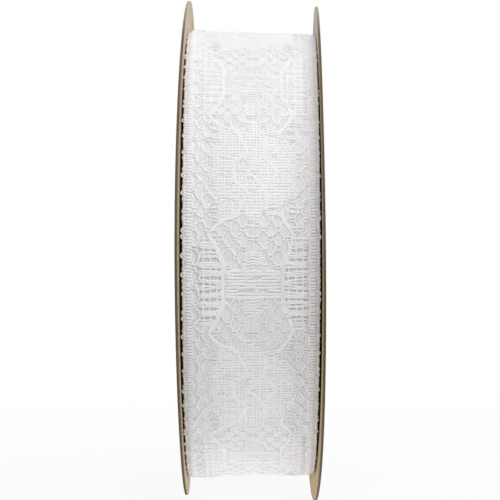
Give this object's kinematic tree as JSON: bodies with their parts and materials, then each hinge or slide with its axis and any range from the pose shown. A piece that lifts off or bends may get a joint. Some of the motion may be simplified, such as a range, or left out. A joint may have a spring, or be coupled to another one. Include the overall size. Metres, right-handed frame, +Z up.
{
  "type": "lace ribbon spool",
  "caption": "Spool of white lace ribbon wound on a crimped paper tube between flat kraft-board discs, with a taped free end that peels off the roll.",
  "frame": {"origin": "on the spool's axis, midway between the discs", "axes": "+X along the spool's axis, +Z up as the spool stands on its rims, -Y towards the viewer"},
  "size_m": [0.0322, 0.112, 0.112],
  "materials": {
    "kraft_board": "matte kraft board with a grey core",
    "core_paper": "matte wound paper",
    "white_lace": "soft white knitted lace",
    "clear_tape": "clear adhesive tape"
  },
  "bodies": {
    "spool": {"left_flange": "kraft_board", "right_flange": "kraft_board", "core_tube": "core_paper", "start_tape": "clear_tape", "lace_winding": "white_lace", "lace_outer_turn": "white_lace"},
    "ribbon_end": {"lace_tail": "white_lace", "end_tape": "clear_tape"}
  },
  "joints": [
    {"name": "ribbon_end_peel", "type": "hinge", "parent": "spool", "child": "ribbon_end", "pos_m": [0, 0.04504, 0.02393], "axis": [-1, 0, 0], "range_deg": [0, 75]}
  ]
}
